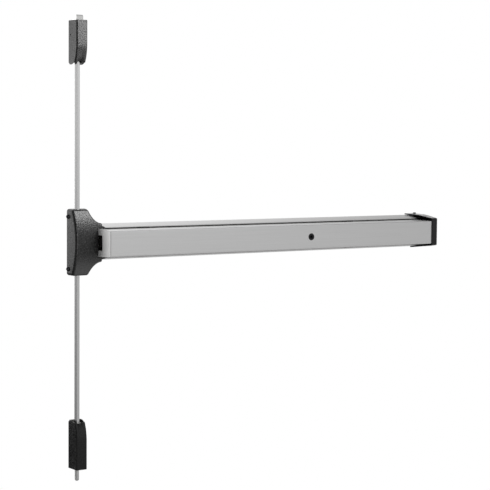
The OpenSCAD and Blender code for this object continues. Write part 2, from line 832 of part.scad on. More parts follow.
module top_latch_base() {
    color([0.64, 0.64, 0.62]) latch_base(1, 414, [348, 406]);
}

module bottom_latch_base() {
    color([0.64, 0.64, 0.62]) difference() {
        union() {
            latch_base(-1, 428, [348, 406]);
            block(-9, 9, 3 - EPS, 21, -421, -418);
        }
        rod_z_dir(0, rod_y, 6.05, -425, -415);
    }
}

module bottom_bolt_bushing() {
    color([0.04, 0.04, 0.04]) difference() {
        union() {
            rod_z_dir(0, rod_y, 6, -426, -416);
            rod_z_dir(0, rod_y, 7.6, -418, -416);
        }
        rod_z_dir(0, rod_y, bolt_r + fit_gap, -428, -415);
    }
}

// Side shape of a latch cover as [projection, height]
module latch_side(z0, z1, d) {
    k = sign(z1 - z0);
    open_z = z0 - (d > 0 ? k : 0);
    back = d > 0 ? -1 : 0;
    f = latch_d - d;
    polygon([
        [back, z1 - k * d], [f - 1.2, z1 - k * d], [f, z1 - k * (1.2 + d)], [f, z0 + k * 38], [f - 0.5, z0 + k * 28],
        [f - 1.9, z0 + k * 18], [f - 4.2, z0 + k * 9], [f - 7.8, open_z], [back, open_z]
    ]);
}

module latch_cover(z0, z1) {
    k = sign(z1 - z0);
    w = latch_w / 2;
    difference() {
        along_x(-w, w) latch_side(z0, z1, 0);
        along_x(-w + latch_wall, w - latch_wall) latch_side(z0, z1, latch_wall);
        rod_y_dir(0, z0 - k * 0.5, 7, 16, 40);
        along_y(-1, 40) for (x = [-w, w]) translate([x, z0]) rotate(45) square(2.4, center = true);
    }
}

module top_latch_cover() {
    color([0.06, 0.06, 0.065]) difference() {
        latch_cover(top_z0, top_z1);
        block(-7.5, 7.5, 4.7, 22.3, top_z1 - 4, top_z1 + 1);
    }
}

module bottom_latch_cover() {
    color([0.06, 0.06, 0.065]) difference() {
        latch_cover(low_z0, low_z1);
        rod_z_dir(0, rod_y, bolt_r + 0.8, low_z1 - 1, low_z1 + 4);
    }
}

chassis_base();
chassis_cover();
cover_screws();
bell_crank_pins();
bell_crank_clips();
rod_bushings();
upper_bell_crank();
upper_crank_pin();
lower_bell_crank();
lower_crank_pin();
centre_slide();
slide_pins();
actuator_link();
link_rivets();
front_crank();
front_crank_pins();
rear_crank();
rear_crank_pins();
front_crank_bracket();
rear_crank_bracket();
crank_pivot_pins();
bracket_rivets();
rail();
rail_screws();
end_bracket();
end_bracket_screws();
touch_bar();
left_end_plug();
right_end_plug();
front_pad_bracket();
rear_pad_bracket();
pad_rivets();
front_guide_shoes();
rear_guide_shoes();
dogging_bushing();
dogging_retainer();
dogging_shaft();
dogging_ring();
dogging_catch();
end_cap();
end_cap_screw();
upper_connector();
upper_set_screw();
top_rod();
top_coupling();
top_bolt();
lower_connector();
lower_set_screw();
bottom_rod();
bottom_coupling();
bottom_bolt();
top_latch_spring();
bottom_latch_spring();
top_latch_base();
top_latch_cover();
bottom_latch_base();
bottom_latch_cover();
bottom_bolt_bushing();
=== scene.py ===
"""Looks for a panic exit bar: touch bar, rail, centre case, rods and latches.

Shapes are drawn in millimetres as (x, p, z), where p is the projection from the door, and become metres
in the row frame: +X along the bar, +Y into the door, +Z up.
"""
import json
import math

import bmesh
import bpy
from mathutils import Matrix, Vector


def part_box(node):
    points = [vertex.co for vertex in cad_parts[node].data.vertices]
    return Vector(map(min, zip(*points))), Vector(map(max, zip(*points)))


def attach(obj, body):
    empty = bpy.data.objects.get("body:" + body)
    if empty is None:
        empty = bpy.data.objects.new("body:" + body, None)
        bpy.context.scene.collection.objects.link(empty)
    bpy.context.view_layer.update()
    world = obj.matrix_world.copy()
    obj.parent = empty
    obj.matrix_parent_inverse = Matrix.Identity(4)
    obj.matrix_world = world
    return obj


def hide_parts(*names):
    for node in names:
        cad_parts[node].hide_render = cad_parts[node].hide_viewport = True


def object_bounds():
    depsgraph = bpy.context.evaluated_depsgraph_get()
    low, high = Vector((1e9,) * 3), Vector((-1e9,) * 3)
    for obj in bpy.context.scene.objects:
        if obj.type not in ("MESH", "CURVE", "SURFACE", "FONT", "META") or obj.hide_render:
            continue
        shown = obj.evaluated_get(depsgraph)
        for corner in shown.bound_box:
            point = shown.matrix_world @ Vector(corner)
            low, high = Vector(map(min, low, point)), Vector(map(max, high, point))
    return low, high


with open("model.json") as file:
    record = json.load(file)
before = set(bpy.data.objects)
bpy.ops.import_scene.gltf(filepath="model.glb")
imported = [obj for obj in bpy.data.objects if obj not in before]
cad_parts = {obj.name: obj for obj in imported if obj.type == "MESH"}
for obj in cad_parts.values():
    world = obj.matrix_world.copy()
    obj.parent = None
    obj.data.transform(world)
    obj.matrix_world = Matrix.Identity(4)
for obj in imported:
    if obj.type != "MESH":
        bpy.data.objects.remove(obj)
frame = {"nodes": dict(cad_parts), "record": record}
CAD_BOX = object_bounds()
NODES = frame["nodes"]
SLOT = {s["node"]: s["material_slot"] for s in frame["record"]["subparts"]}
BODY = {node: body for body, nodes in frame["record"]["behaviour"]["bodies"].items() for node in nodes}
MM = 0.001


# ------------------------------------------------------------------ materials
class Tree:
    """A small helper round one node tree."""

    def __init__(self, tree):
        self.tree = tree

    def node(self, kind, **values):
        n = self.tree.nodes.new(kind)
        for key, value in values.items():
            if key in n.inputs:
                n.inputs[key].default_value = value
            else:
                setattr(n, key, value)
        return n

    def link(self, a, b):
        self.tree.links.new(a, b)

    def math(self, op, a, b):
        n = self.node("ShaderNodeMath", operation=op)
        for i, v in enumerate((a, b)):
            if isinstance(v, (int, float)):
                n.inputs[i].default_value = v
            else:
                self.link(v, n.inputs[i])
        return n.outputs[0]

    def remap(self, value, low, high, to_low, to_high, kind="LINEAR"):
        n = self.node("ShaderNodeMapRange", interpolation_type=kind)
        for name, v in (("From Min", low), ("From Max", high), ("To Min", to_low), ("To Max", to_high)):
            n.inputs[name].default_value = v
        self.link(value, n.inputs["Value"])
        return n.outputs["Result"]


class Mat(Tree):
    """A material with one main shader."""

    def __init__(self, name):
        self.mat = bpy.data.materials.new(name)
        self.mat.use_nodes = True
        super().__init__(self.mat.node_tree)
        self.bsdf = self.tree.nodes["Principled BSDF"]
        self.coord = self.tree.nodes.new("ShaderNodeTexCoord").outputs["Object"]

    def mapped(self, scale):
        m = self.node("ShaderNodeMapping")
        m.inputs["Scale"].default_value = scale
        self.link(self.coord, m.inputs["Vector"])
        return m.outputs["Vector"]

    def noise(self, scale, vec=None, detail=3.0, rough=0.5):
        n = self.node("ShaderNodeTexNoise", Scale=scale, Detail=detail, Roughness=rough)
        self.link(vec or self.coord, n.inputs["Vector"])
        return n.outputs["Fac"]

    def cells(self, scale, smooth=0.6):
        n = self.node("ShaderNodeTexVoronoi", feature="SMOOTH_F1", Scale=scale)
        n.inputs["Smoothness"].default_value = smooth
        self.link(self.coord, n.inputs["Vector"])
        return n.outputs["Distance"]

    def ramp(self, fac, stops):
        r = self.node("ShaderNodeValToRGB")
        el = r.color_ramp.elements
        while len(el) < len(stops):
            el.new(0.5)
        for e, (pos, col) in zip(el, stops):
            e.position = pos
            c = (col, col, col) if isinstance(col, float) else col
            e.color = (*c, 1.0)
        self.link(fac, r.inputs["Fac"])
        return r.outputs["Color"]

    def mix(self, fac, a, b):
        n = self.node("ShaderNodeMix", data_type="RGBA")
        for sock, v in ((n.inputs["Factor"], fac), (n.inputs["A"], a), (n.inputs["B"], b)):
            if isinstance(v, (int, float)):
                sock.default_value = v
            elif isinstance(v, tuple):
                sock.default_value = (*v, 1.0)
            else:
                self.link(v, sock)
        return n.outputs["Result"]

    def edge(self, low, high):
        """0 on flat areas, 1 on worn convex edges."""
        g = self.node("ShaderNodeNewGeometry")
        return self.ramp(g.outputs["Pointiness"], [(low, 0.0), (high, 1.0)])

    def bump(self, height, strength, distance):
        b = self.node("ShaderNodeBump", Strength=strength, Distance=distance)
        self.link(height, b.inputs["Height"])
        self.link(b.outputs["Normal"], self.bsdf.inputs["Normal"])

    def set(self, name, v):
        s = self.bsdf.inputs[name]
        if isinstance(v, (int, float)):
            s.default_value = v
        elif isinstance(v, tuple):
            s.default_value = (*v, 1.0)
        else:
            self.link(v, s)


def grey(value):
    return (value, value, value * 1.01)


def black_paint(name, base=0.004, speck=0.02):
    """Textured powder coat: a leathery grain with slightly paler high points and rubbed edges."""
    m = Mat(name)
    grain = m.noise(1100, detail=3.0, rough=0.6)
    mottle = m.noise(380, detail=3.0, rough=0.65)
    leather = m.ramp(m.cells(420), [(0.15, 1.0), (0.75, 0.0)])
    height = m.math("ADD", leather, m.math("MULTIPLY", mottle, 1.6))
    height = m.math("ADD", m.math("MULTIPLY", grain, 0.5), height)
    tone = m.mix(m.noise(18, detail=4.0), grey(base * 0.8), grey(base * 1.25))
    tone = m.mix(m.ramp(mottle, [(0.5, 0.0), (0.68, 1.0)]), tone, grey(speck))
    tone = m.mix(m.math("MULTIPLY", m.edge(0.54, 0.64), 0.2), tone, grey(0.05))
    m.set("Base Color", tone)
    m.set("Roughness", m.ramp(mottle, [(0.35, 0.24), (0.65, 0.42)]))
    m.set("Specular IOR Level", 0.45)
    m.bump(height, 0.42, 0.0003)
    return m.mat


def satin_metal(name, base, rough, stretch, streak=0.05, wear=0.3):
    """Anodised or plated metal with a fine grain along one axis."""
    m = Mat(name)
    grain = m.noise(1.0, m.mapped(stretch), detail=4.0, rough=0.6)
    cloud = m.noise(6, detail=3.0)
    lo = tuple(c * (1 - streak) for c in base)
    hi = tuple(min(1.0, c * (1 + streak)) for c in base)
    tone = m.mix(m.ramp(grain, [(0.3, 0.0), (0.7, 1.0)]), lo, hi)
    tone = m.mix(m.math("MULTIPLY", cloud, 0.12), tone, tuple(c * 0.85 for c in base))
    bright = tuple(min(1.0, c * 1.15) for c in base)
    tone = m.mix(m.math("MULTIPLY", m.edge(0.52, 0.6), wear), tone, bright)
    m.set("Base Color", tone)
    m.set("Metallic", 1.0)
    m.set("Roughness", m.math("ADD", m.math("MULTIPLY", grain, 0.10), rough - 0.05))
    m.bump(grain, 0.12, 0.0002)
    return m.mat


def moulded(name, base, rough, shaded_left_faces=False):
    """Moulded plastic: faint orange peel, slightly paler rubbed edges.

    shaded_left_faces takes the shine off the faces that look to the left. This is painted shade, so the
    end cap's rim reads as dark as the shadowed gap beneath it.
    """
    m = Mat(name)
    peel = m.noise(420, detail=2.0)
    tone = m.mix(m.noise(25, detail=3.0), tuple(c * 0.85 for c in base), tuple(c * 1.2 for c in base))
    worn = tuple(min(1.0, c * 1.6 + 0.02) for c in base)
    tone = m.mix(m.math("MULTIPLY", m.edge(0.52, 0.6), 0.4), tone, worn)
    m.set("Base Color", tone)
    m.set("Roughness", m.ramp(m.noise(80), [(0.3, rough - 0.05), (0.7, rough + 0.06)]))
    if shaded_left_faces:
        # Painted shade: less shine on every face that looks to the left, by its facing alone.
        way = m.node("ShaderNodeSeparateXYZ")
        m.link(m.node("ShaderNodeTexCoord").outputs["Normal"], way.inputs[0])
        m.set("Specular IOR Level", m.remap(way.outputs["X"], -0.9, -0.3, 0.04, 0.5))
    m.bump(peel, 0.15, 0.0002)
    return m.mat


ALONG_X, ALONG_Z, ALL_WAYS = (6.0, 1400.0, 1400.0), (1400.0, 1400.0, 6.0), (500.0, 500.0, 500.0)
MATS = {
    "black_textured_paint": black_paint("black_textured_paint"),
    "anodised_bar": satin_metal("anodised_bar", (0.90, 0.90, 0.90), 0.34, ALONG_X),
    "anodised_rail": satin_metal("anodised_rail", (0.84, 0.84, 0.84), 0.34, ALONG_X),
    "rod_steel": satin_metal("rod_steel", (0.80, 0.80, 0.80), 0.24, ALONG_Z, 0.07),
    "bolt_steel": satin_metal("bolt_steel", (0.90, 0.90, 0.89), 0.36, ALONG_Z),
    "zinc_steel": satin_metal("zinc_steel", (0.62, 0.62, 0.60), 0.40, ALL_WAYS, 0.08),
    "spring_steel": satin_metal("spring_steel", (0.40, 0.40, 0.41), 0.34, ALL_WAYS, 0.08),
    "black_oxide_steel": satin_metal("black_oxide_steel", (0.035, 0.035, 0.038), 0.36, ALL_WAYS, 0.2),
    "grey_plastic": moulded("grey_plastic", (0.78, 0.78, 0.775), 0.36),
    "black_plastic": moulded("black_plastic", (0.010, 0.010, 0.011), 0.3, True),
}


# ------------------------------------------------------------------ outlines, in millimetres
def box_mm(node):
    """x0, x1, p0, p1, z0, z1 of a CAD node."""
    low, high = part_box(node)
    return [v / MM for v in (low.x, high.x, -high.y, -low.y, low.z, high.z)]


def arc(a, b, steps):
    return [a + (b - a) * i / steps for i in range(steps + 1)]


def rounded(corners, steps=5):
    """A closed outline from (u, v, radius) corners, each corner an arc of that radius."""
    out = []
    for i, (u, v, r) in enumerate(corners):
        here = Vector((u, v))
        if r == 0:
            out.append(here)
            continue
        a = (Vector(corners[i - 1][:2]) - here).normalized()
        b = (Vector(corners[(i + 1) % len(corners)][:2]) - here).normalized()
        half = a.angle(b) / 2
        centre = here + (a + b).normalized() * (r / math.sin(half))
        start = here + a * (r / math.tan(half)) - centre
        sweep = math.pi - 2 * half
        if a.x * b.y - a.y * b.x > 0:
            sweep = -sweep
        for k in range(steps + 1):
            out.append(centre + Matrix.Rotation(sweep * k / steps, 2) @ start)
    return out


def eased(points, times=2):
    """An open path with its corners cut smooth; its ends stay."""
    for _ in range(times):
        cut = [points[0]]
        for a, b in zip(points, points[1:]):
            for share in (0.25, 0.75):
                cut.append(tuple((1 - share) * p + share * q for p, q in zip(a, b)))
        points = cut + [points[-1]]
    return points


def smooth(t):
    t = min(max(t, 0.0), 1.0)
    return t * t * (3 - 2 * t)


def turn(outline):
    """+1 for an outline that runs anticlockwise."""
    area = sum(a[0] * b[1] - a[1] * b[0] for a, b in zip(outline, outline[1:] + outline[:1]))
    return 1 if area > 0 else -1


def inset(outline, distance, closed=True):
    """The outline moved inwards; distance is one number, or one for each point."""
    n = len(outline)
    depth = distance if isinstance(distance, list) else [distance] * n
    way = turn(outline)
    out = []
    for i, here in enumerate(outline):
        before = outline[i - 1] if closed or i else None
        after = outline[(i + 1) % n] if closed or i < n - 1 else None
        normals = []
        for a, b in ((before, here), (here, after)):
            if a is not None and b is not None:
                d = Vector((b[0] - a[0], b[1] - a[1])).normalized()
                normals.append(Vector((-d.y, d.x)) * way)
        m = sum(normals, Vector((0, 0)))
        step = depth[i] * len(normals) / max(m.length_squared, 0.4)
        out.append(Vector((here[0], here[1])) + m * step)
    return out


# ------------------------------------------------------------------ meshes
def place(axis, u, v, w):
    """A drawn point (u, v) at w along an axis, in metres.

    (u, v) is (p, z) along x, (x, z) along y and (x, p) along z.
    """
    x, p, z = {"x": (w, u, v), "y": (u, w, v), "z": (u, v, w)}[axis]
    return Vector((x, -p, z)) * MM


def grid_faces(rows, width, closed):
    """Quads between neighbouring rows of a grid of points, with width points in a row."""
    last = width if closed else width - 1
    faces = []
    for here in range(0, (rows - 1) * width, width):
        for i in range(last):
            after = (i + 1) % width
            faces.append((here + i, here + after, here + width + after, here + width + i))
    return faces


def solid(rows):
    """A closed mesh skinned over closed rows of points, with both ends filled."""
    n = len(rows[0])
    faces = grid_faces(len(rows), n, True)
    ends = [tuple(range(n))[::-1], tuple(range((len(rows) - 1) * n, len(rows) * n))]
    return [p for row in rows for p in row], faces + ends


def bar_of(outline, axis, w0, w1, soft=0.3):
    """An outline run along an axis, its end edges softened."""
    rows = []
    for side, w in ((1, w0), (-1, w1)):
        ends = []
        for a in arc(0, math.pi / 2, 3):
            ring = inset(outline, soft * (1 - math.sin(a)))
            ends.append([place(axis, u, v, w + side * soft * (1 - math.cos(a))) for u, v in ring])
        rows += ends if side == 1 else ends[::-1]
    return solid(rows)


def lathe(profile, axis, at, way=1, segments=48, hollow=False):
    """A (radius, height) profile turned about an axis through at (u, v, w).

    A hollow profile closes on itself; any other gets flat ends.
    """
    u0, v0, w0 = at
    rows = []
    for r, h in profile:
        ring = [2 * math.pi * i / segments for i in range(segments)]
        rows.append([place(axis, u0 + r * math.cos(a), v0 + r * math.sin(a), w0 + way * h) for a in ring])
    if not hollow:
        return solid(rows)
    last = (len(rows) - 1) * segments
    closing = [(last + i, last + (i + 1) % segments, (i + 1) % segments, i) for i in range(segments)]
    return [p for row in rows for p in row], grid_faces(len(rows), segments, True) + closing


def mesh_object(name, *parts):
    """One object from (points, faces) parts."""
    points, faces = [], []
    for p, f in parts:
        faces += [tuple(i + len(points) for i in face) for face in f]
        points += p
    mesh = bpy.data.meshes.new(name)
    mesh.from_pydata([tuple(p) for p in points], [], faces)
    bm = bmesh.new()
    bm.from_mesh(mesh)
    bmesh.ops.remove_doubles(bm, verts=bm.verts, dist=1e-7)
    bmesh.ops.recalc_face_normals(bm, faces=bm.faces)
    bm.to_mesh(mesh)
    bm.free()
    obj = bpy.data.objects.new(name, mesh)
    bpy.context.scene.collection.objects.link(obj)
    return obj


def bake(obj):
    """Applies the object's modifiers to its mesh."""
    bpy.context.view_layer.update()
    done = bpy.data.meshes.new_from_object(obj.evaluated_get(bpy.context.evaluated_depsgraph_get()))
    obj.modifiers.clear()
    obj.data = done


def carve(obj, *cutters):
    """Cuts (points, faces) solids out of the object."""
    tool = mesh_object("tool", *cutters)
    m = obj.modifiers.new("cut", "BOOLEAN")
    m.operation, m.solver, m.object = "DIFFERENCE", "EXACT", tool
    bake(obj)
    bpy.data.objects.remove(tool)


def drill(axis, u, v, r, w0, w1):
    return lathe([(r, 0), (r, w1 - w0)], axis, (u, v, w0), 1, 64)


def finish_piece(obj, node, angle=35):
    """Shades the piece, gives it the node's material and lets it stand for the node."""
    mesh = obj.data
    mesh.polygons.foreach_set("use_smooth", [True] * len(mesh.polygons))
    mesh.set_sharp_from_angle(angle=math.radians(angle))
    m = obj.modifiers.new("flat_faces_stay_flat", "WEIGHTED_NORMAL")
    m.keep_sharp = True
    bake(obj)
    obj.data.materials.clear()
    obj.data.materials.append(MATS[SLOT[node]])
    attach(obj, BODY[node])
    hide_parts(node)
    return obj


# ------------------------------------------------------------------ centre case cover
CASE_WALL, CASE_RISE, CASE_CORNER, CASE_DRAFT, RIM = 2.0, 15.5, 5.2, 1.9, 0.3
CASE_SOFT, LEFT_SOFT = 3.0, 5.0
NOTCH_X, NOTCH_Z, NOTCH_FLOOR, NOTCH_SOFT = 33.0, 27.9, 24.0, 1.0
FRONT_SHOULDER = [
    (10, 62), (12.2, 60.4), (13.2, 57.5), (15, 53.5), (18, 49),
    (22, 44.6), (27, 40.6), (32, 38), (37, 36.7),
]
BACK_SHOULDER = [
    (23, 62), (26.6, 60.8), (28.8, 59), (30.8, 56.6), (33, 53.8),
    (35.4, 50.6), (38, 47), (40.4, 43.4), (42.6, 40.2),
]
FRONT_JAW, BACK_JAW, CASE_REF = 36.3, 37.5, 37.0
ROD_P = 12.0
BUSHING_HOLE_R, SHANK_HOLE_R, HEAD_R = 7.1, 2.2, 4.2


def case_outline(curve, jaw, x0, x1, hz, draft=0.0):
    """The case from the front: square left side, curved shoulders and two jaws round the bar end."""

    def half(rise):
        lifted = [(x, z + rise * smooth((z - 45) / 15)) for x, z in eased(curve)]
        side = [(x0, hz + rise, CASE_CORNER)] + [(x, z, 0) for x, z in lifted]
        return side + [(x1, jaw, 2.6), (x1, NOTCH_Z, 2.4), (NOTCH_X, NOTCH_Z, 1.2)]

    return rounded(half(draft) + [(x, -z, r) for x, z, r in reversed(half(0.0))])


def case_rings(x0, x1, hz, crown):
    """(points, share, lows) rings down the outside, round the rim and up the inside.

    A point's projection is its low + share of the crown at its height, so cuts across a ring stay exact.
    """
    front = case_outline(FRONT_SHOULDER, FRONT_JAW, x0, x1, hz)
    back = case_outline(BACK_SHOULDER, BACK_JAW, x0, x1, hz, CASE_DRAFT)
    in_notch = [abs(z) < NOTCH_Z + 0.3 and x > NOTCH_X - 1 for x, z in front]
    left = [CASE_SOFT + (LEFT_SOFT - CASE_SOFT) * smooth(1 - (x - x0) / CASE_CORNER) for x, _ in front]
    soft = [NOTCH_SOFT if inside else s for inside, s in zip(in_notch, left)]
    floor = [NOTCH_FLOOR if inside else 0.0 for inside in in_notch]
    lift = [f + RIM for f in floor]

    def at(p_of):
        return [b.lerp(f, p / CASE_REF) for b, f, p in zip(back, front, p_of)]

    shoulder = at([crown(z) - s for (_, z), s in zip(front, soft)])
    rings = []
    for a in arc(math.pi / 2, 0, 6):
        inwards = [s * (1 - math.cos(a)) for s in soft]
        below_crown = [s * (math.sin(a) - 1) for s in soft]
        rings.append((inset(shoulder, inwards), 1, below_crown))
    rings.append((at(lift), 0, lift))
    rings.append((inset(at(floor), RIM), 0, floor))
    rings.append((inset(at(floor), CASE_WALL - RIM), 0, floor))
    rings.append((inset(at(lift), CASE_WALL), 0, lift))
    rings.append((inset(shoulder, CASE_WALL), 1, [-CASE_WALL - 0.8] * len(front)))
    rings.append((inset(shoulder, CASE_WALL + 0.8), 1, [-CASE_WALL] * len(front)))
    return rings


def case_mesh(rings, crown):
    """Skins the rings, cuts them at even heights and gives every point its projection."""
    bm = bmesh.new()
    share_of = bm.verts.layers.float.new("share")
    low_of = bm.verts.layers.float.new("low")
    grid = []
    for level, (ring, share, lows) in enumerate(rings):
        row = []
        for (x, z), low in zip(ring, lows):
            v = bm.verts.new((x, level, z))
            v[share_of], v[low_of] = share, low
            row.append(v)
        grid.append(row)
    n = len(grid[0])
    for a, b in zip(grid, grid[1:]):
        for i in range(n):
            bm.faces.new((a[i], a[(i + 1) % n], b[(i + 1) % n], b[i]))
    bm.faces.new(grid[0])
    bm.faces.new(grid[-1][::-1])
    for z in arc(-60, 60, 40):
        everything = bm.verts[:] + bm.edges[:] + bm.faces[:]
        bmesh.ops.bisect_plane(bm, geom=everything, plane_co=(0, 0, z), plane_no=(0, 0, 1), dist=1e-5)
    for v in bm.verts:
        x, _, z = v.co
        v.co = Vector((x, -(v[low_of] + v[share_of] * crown(z)), z)) * MM
    bmesh.ops.recalc_face_normals(bm, faces=bm.faces)
    mesh = bpy.data.meshes.new("case_cover")
    bm.to_mesh(mesh)
    bm.free()
    obj = bpy.data.objects.new("case_cover", mesh)
    bpy.context.scene.collection.objects.link(obj)
    return obj


def case_cover():
    x0, x1, _, depth, _, hz = box_mm("chassis_cover")
    radius = (hz * hz + CASE_RISE * CASE_RISE) / (2 * CASE_RISE)

    def crown(z):
        return math.sqrt(radius * radius - z * z) - radius + depth

    obj = case_mesh(case_rings(x0, x1, hz, crown), crown)
    _, _, _, screw_p1, _, screw_z1 = box_mm("cover_screws")
    cutters = [drill("z", 0, ROD_P, BUSHING_HOLE_R, -hz - 4, hz + 4)]
    for z in (screw_z1 - HEAD_R, HEAD_R - screw_z1):
        cutters.append(drill("x", screw_p1 - HEAD_R, z, SHANK_HOLE_R, x0 - 1, x0 + 4))
    carve(obj, *cutters)
    finish_piece(obj, "chassis_cover", 50)


# ------------------------------------------------------------------ bar, rail and their plugs
BAR_WALL, BAR_REAR, BAR_FRONT_HZ, BAR_REAR_HZ, BAR_SOFT = 2.3, 30.0, 24.5, 26.8, 2.3
FRONT_P = box_mm("touch_bar")[3]
PLUG_FLANGE, COLLAR_Z = 1.4, -401.0
RAIL_WALL, RAIL_SIDE, RAIL_LIP, RAIL_LIP_HZ = 3.0, 2.2, 1.6, 29.6
RIVET_R, SCREW_R, DOOR_SCREW_R, PLUG_HOLE_R = 2.05, 2.55, 3.3, 5.55
RAIL_HOLES = [(x, 9, RIVET_R) for x in (145, 167, 651, 673)] + [(x, 0, RIVET_R) for x in (483.3, 531.3)]
for hole_x, hole_z, hole_r in ((62, 20.5, SCREW_R), (820, 22, SCREW_R), (834, 14, DOOR_SCREW_R)):
    RAIL_HOLES += [(hole_x, way * hole_z, hole_r) for way in (1, -1)]


def mirrored(path):
    """A path of (p, z, radius) corners followed by its mirror image below."""
    return path + [(p, -z, r) for p, z, r in reversed(path)]


def bar_path(d, rear, rear_soft):
    """The bar's section moved in by d, from its rear edge to the front corner and back."""
    front_soft = max(BAR_SOFT - d, 0.6)
    return mirrored([(rear, BAR_REAR_HZ - d, rear_soft), (FRONT_P - d, BAR_FRONT_HZ - d, front_soft)])


def touch_bar():
    x0, x1 = box_mm("touch_bar")[:2]
    section = rounded(bar_path(0, BAR_REAR, 0.9) + bar_path(BAR_WALL, BAR_REAR, 0.9)[::-1])
    obj = mesh_object("touch_bar_shell", bar_of(section, "x", x0, x1, 0.35))
    dog = box_mm("dogging_bushing")
    carve(obj, drill("y", (dog[0] + dog[1]) / 2, 0, PLUG_HOLE_R, FRONT_P - 8, FRONT_P + 2))
    finish_piece(obj, "touch_bar")


def rail():
    x0, x1, _, depth, _, hz = box_mm("rail")
    drop = hz - RAIL_LIP_HZ

    def side(t):
        return hz - drop * (0.45 * t + 0.55 * t * t)

    outer = [(depth * t, side(t), 0) for t in arc(0, 1, 10)]
    outer[0], outer[-1] = (0, hz, 0.4), (depth, RAIL_LIP_HZ, 0.7)
    inner = [(depth * t, side(t) - RAIL_SIDE + (RAIL_SIDE - RAIL_LIP) * t, 0) for t in arc(0.1, 1, 9)]
    inner[-1] = (depth, RAIL_LIP_HZ - RAIL_LIP, 0.6)
    inner[0] = (RAIL_WALL, hz - RAIL_SIDE - 0.2, 0.8)
    section = rounded(mirrored(outer[::-1]) + mirrored(inner[::-1])[::-1], 3)
    obj = mesh_object("rail_channel", bar_of(section, "x", x0, x1, 0.3))
    holes = [drill("y", x, z, r, -1, RAIL_WALL + 1) for x, z, r in RAIL_HOLES]
    cap = box_mm("end_cap_screw")
    carve(obj, *holes, drill("z", (cap[0] + cap[1]) / 2, ROD_P, RIVET_R, 25, 40))
    finish_piece(obj, "rail")


# ------------------------------------------------------------------ shells open at the door
def shell_of(outer, inner):
    """A wall between two grids of points.

    Rows run from the rim to a closed end, and the ends of rows lie at the door.
    """
    rows, n = len(outer), len(outer[0])
    points = [p for row in outer for p in row] + [p for row in inner for p in row]
    size = rows * n
    faces = grid_faces(rows, n, False)
    faces += [tuple(i + size for i in f) for f in grid_faces(rows, n, False)]
    faces += [(i, i + 1, size + i + 1, size + i) for i in range(n - 1)]
    for end in (0, n - 1):
        column = [r * n + end for r in range(rows)]
        faces += [(a, b, size + b, size + a) for a, b in zip(column, column[1:])]
    top = (rows - 1) * n
    faces.append(tuple(range(top, top + n)))
    faces.append(tuple(range(size + top, size + top + n)))
    faces.append((top, top + n - 1, size + top + n - 1, size + top))
    return points, faces


LATCH_WALL, LATCH_EDGE, LATCH_SOFT, LATCH_NOSE, LATCH_CURVE = 1.8, 2.6, 1.3, 7.8, 38.0
LOBE_AT_DOOR, LOBE_IN_FRONT, ARCH_RISE, ARCH_HALF = 3.4, 3.6, 3.2, 6.5


def latch_section(half, depth, corner):
    """Left side, front and right side of a latch cover as (x, p), the same count of points every time."""
    side = [(-half, (depth - corner) * t) for t in arc(0, 1, 12)]
    turns = arc(0, math.pi / 2, 5)[1:]
    bend = [(-half + corner * (1 - math.cos(a)), depth - corner * (1 - math.sin(a))) for a in turns]
    left = side + bend
    across = [(x, depth) for x in arc(-half + corner, half - corner, 12)][1:-1]
    return left + across + [(-x, p) for x, p in reversed(left)]


def latch_lip(x, p, half, depth):
    """How far the open edge is scalloped: rounded lobes on the sides, an arch for the rod in front."""
    middle = 0.45 * depth
    lobe = LOBE_AT_DOOR * (1 - smooth(p / 5.0)) + LOBE_IN_FRONT * smooth((p - middle) / middle)
    if p > depth - 0.5 and abs(x) < ARCH_HALF:
        return lobe + ARCH_RISE * max(0.0, math.cos(math.pi * x / (2 * ARCH_HALF)))
    return lobe


def latch_cover(name, node, way, *cutters):
    """way is +1 for the upper cover, whose open end is its lower one."""
    x0, x1, _, depth, z0, z1 = box_mm(node)
    half = (x1 - x0) / 2
    shut, open_z = (z1, z0) if way > 0 else (z0, z1)
    length = abs(shut - open_z)
    outer, inner = [], []
    for rows, wall, top in ((outer, 0.0, 0.0), (inner, LATCH_WALL, LATCH_WALL)):
        levels = [(RIM, 0.0), (0.0, RIM)] + [(0.0, t * (length - 1.5)) for t in arc(0.05, 1, 17)]
        soft = LATCH_SOFT if rows is outer else 0.4
        for a in arc(0, math.pi / 2, 4):
            levels.append((soft * (1 - math.cos(a)), length - top - soft * (1 - math.sin(a))))
        for more, climb in levels:
            sunk = wall + more if rows is outer or more != RIM else wall - more
            nose = LATCH_NOSE * max(0.0, 1 - climb / LATCH_CURVE) ** 1.9
            here = depth - nose
            row = []
            for x, p in latch_section(half - sunk, here - sunk, max(LATCH_EDGE - sunk, 0.5)):
                lip = latch_lip(x, p + sunk, half, here) * (1 - climb / length) ** 5
                row.append(place("z", x, p, open_z + way * (climb + lip)))
            rows.append(row)
    obj = mesh_object(name, shell_of(outer, inner))
    if cutters:
        carve(obj, *cutters)
    finish_piece(obj, node, 50)


CAP_WALL, CAP_LEAN, CAP_SOFT, CAP_HEEL, CAP_SCREW_HOLE_R = 2.4, 10.2, 2.4, 20.0, 2.3
CAP_ABOVE = [(0, 38), (20, 37.6), (38, 37), (50, 35.5), (60, 33.7), (70, 31.9)]
CAP_FRONT = [(78.7, 30.2, 2.9), (78.7, -28.2, 2.9)]
CAP_BELOW = [(60, -31.1), (41, -32.6), (20, -35.4), (0, -37.4)]


def cap_section(d):
    """The cap's open section moved in by d, with the same count of points every time."""
    coarse = [(p, z, 0) for p, z in CAP_ABOVE] + CAP_FRONT + [(p, z, 0) for p, z in CAP_BELOW]
    moved = inset(coarse, d, closed=False)
    return rounded([(q.x, q.y, max(r - d, 0.4) if r else 0) for q, (_, _, r) in zip(moved, coarse)])


